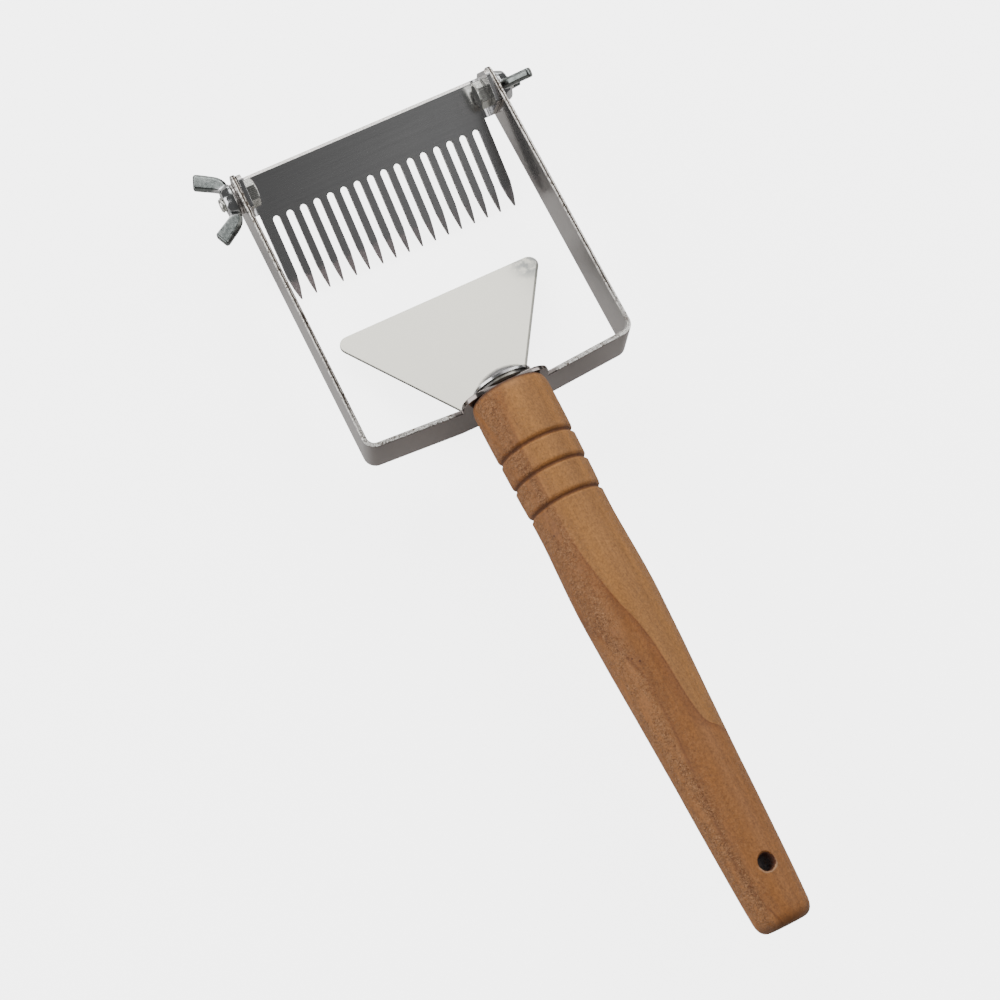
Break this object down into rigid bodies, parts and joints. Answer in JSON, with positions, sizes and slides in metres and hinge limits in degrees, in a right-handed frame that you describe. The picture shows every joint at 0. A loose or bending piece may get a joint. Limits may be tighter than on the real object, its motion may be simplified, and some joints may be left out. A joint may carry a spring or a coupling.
{
  "type": "uncapping scraper",
  "caption": "Honeycomb uncapping scraper: a pivoting toothed comb blade between the arms of a steel yoke, with a sloping guide plate and a turned wooden handle.",
  "frame": {"origin": "centre of the hang hole near the handle's end, on the handle's axis", "axes": "+Y along the handle towards the comb blade, +Z square to the yoke's flat middle plane, on the side the lug stands up, +X across the yoke"},
  "size_m": [0.112, 0.2844, 0.048],
  "materials": {
    "yoke_steel": "satin with bright sheared edges",
    "plate_steel": "fine satin",
    "comb_steel": "brushed lengthwise, dark",
    "bolt_chrome": "polished",
    "screw_steel": "bright zinc plated",
    "washer_steel": "bright zinc plated",
    "nut_zinc": "cast, frosted, with worn bright edges",
    "handle_wood": "oiled, fine flecked grain"
  },
  "bodies": {
    "tool": {"yoke": "yoke_steel", "guide_plate": "plate_steel", "handle": "handle_wood", "handle_bolt": "bolt_chrome"},
    "comb": {"comb_blade": "comb_steel", "left_screw": "screw_steel", "right_screw": "screw_steel"},
    "left_washer": {"left_washer": "washer_steel"},
    "right_washer": {"right_washer": "washer_steel"},
    "left_nut": {"left_wing_nut": "nut_zinc"},
    "right_nut": {"right_wing_nut": "nut_zinc"}
  },
  "joints": [
    {"name": "comb_tilt", "type": "hinge", "parent": "tool", "child": "comb", "pos_m": [0, 0.25375, -0.0126], "axis": [1, 0, 0], "continuous": true},
    {"name": "left_nut_travel", "type": "slide", "parent": "comb", "child": "left_washer", "axis": [-1, 0, 0], "range_m": [0, 0.0025]},
    {"name": "left_nut_turn", "type": "hinge", "parent": "left_washer", "child": "left_nut", "pos_m": [-0.046, 0.25375, -0.0126], "axis": [-1, 0, 0], "range_deg": [0, 1080]},
    {"name": "right_nut_travel", "type": "slide", "parent": "comb", "child": "right_washer", "axis": [1, 0, 0], "range_m": [0, 0.0025]},
    {"name": "right_nut_turn", "type": "hinge", "parent": "right_washer", "child": "right_nut", "pos_m": [0.046, 0.25375, -0.0126], "axis": [1, 0, 0], "range_deg": [0, 1080]}
  ],
  "couplings": [
    {"joint": "left_nut_travel", "follows": "left_nut_turn", "m_per_rad": 0.00012732},
    {"joint": "right_nut_travel", "follows": "right_nut_turn", "m_per_rad": 0.00012732}
  ]
}
